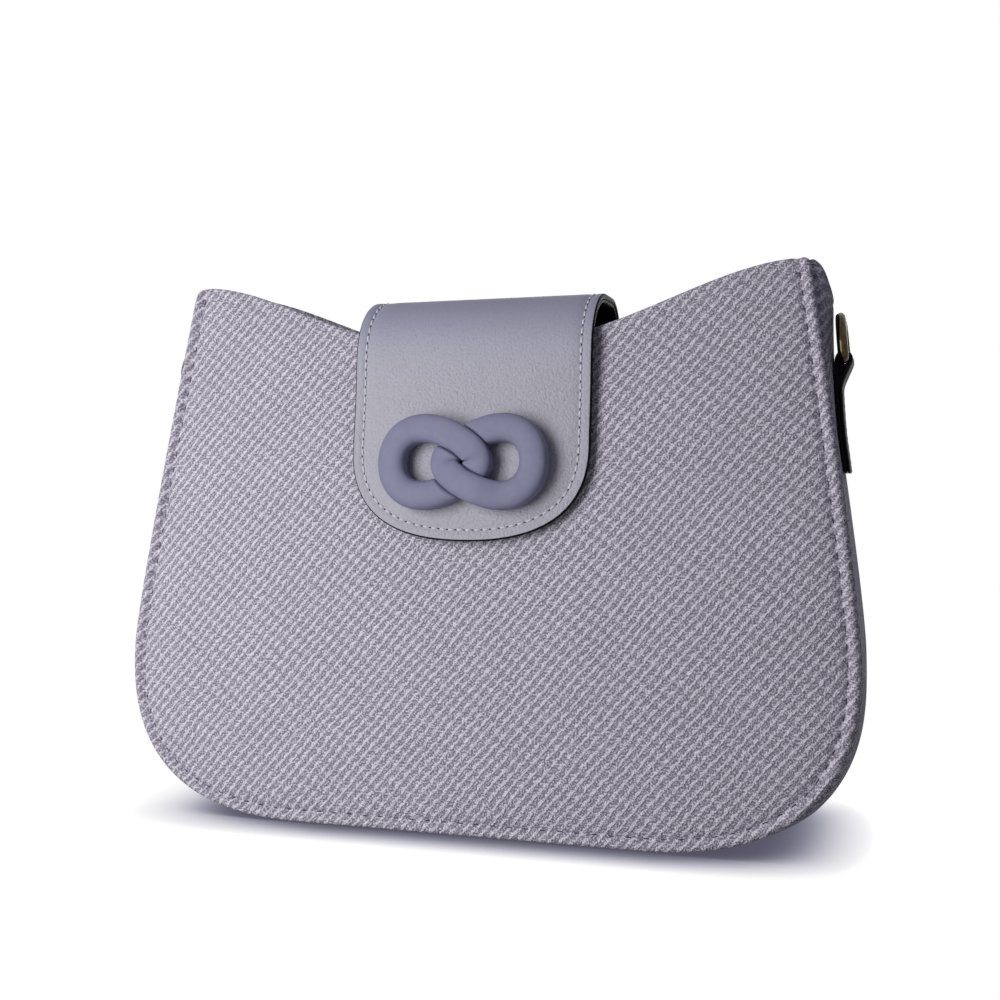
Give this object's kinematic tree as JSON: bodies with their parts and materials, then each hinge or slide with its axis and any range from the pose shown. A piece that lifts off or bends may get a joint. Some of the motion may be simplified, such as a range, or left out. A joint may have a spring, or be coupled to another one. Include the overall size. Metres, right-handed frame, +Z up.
{
  "type": "half moon bag",
  "caption": "Structured half moon bag with a scooped mouth, a tapering gusset, a snap flap with linked rings, and side D-rings for a strap.",
  "frame": {"origin": "middle of the flat base", "axes": "+X across the bag to the right as seen from the front, -Y out of the front, +Z up"},
  "size_m": [0.27, 0.0823, 0.1999],
  "materials": {
    "fabric": "diagonal twill",
    "flap_leather": "fine grain, satin",
    "black_leather": "smooth, satin",
    "lining": "plain weave",
    "stiffener": "board",
    "ring_resin": "satin lacquer",
    "steel": "nickel plated",
    "magnet": "ferrite",
    "antique_brass": "dark antique, polished"
  },
  "bodies": {
    "body": {"front_panel": "fabric", "front_stiffener": "stiffener", "front_lining": "lining", "back_panel": "fabric", "back_stiffener": "stiffener", "back_lining": "lining", "front_piping": "fabric", "back_piping": "fabric", "gusset": "fabric", "gusset_stiffener": "stiffener", "gusset_lining": "lining", "flap_anchor": "flap_leather", "snap_socket": "steel", "snap_magnet": "magnet", "snap_socket_washer": "steel", "tab_right": "black_leather", "tab_left": "black_leather"},
    "flap": {"flap_leather": "flap_leather", "flap_board": "stiffener", "flap_lining": "black_leather", "link_left": "ring_resin", "link_right": "ring_resin", "screw_left_upper": "steel", "screw_left_lower": "steel", "screw_right_upper": "steel", "screw_right_lower": "steel", "snap_stud": "steel", "snap_stud_washer": "steel"},
    "ring_right": {"d_ring_right": "antique_brass"},
    "ring_left": {"d_ring_left": "antique_brass"}
  },
  "joints": [
    {"name": "flap_fold", "type": "hinge", "parent": "body", "child": "flap", "pos_m": [0, 0.021, 0.18019], "axis": [-1, 0, 0], "range_deg": [0, 150]},
    {"name": "ring_right_swing", "type": "hinge", "parent": "body", "child": "ring_right", "pos_m": [0.12829, 0, 0.16574], "axis": [0, 1, 0], "range_deg": [0, 150]},
    {"name": "ring_left_swing", "type": "hinge", "parent": "body", "child": "ring_left", "pos_m": [-0.12506, 0, 0.16574], "axis": [0, -1, 0], "range_deg": [0, 150]}
  ]
}
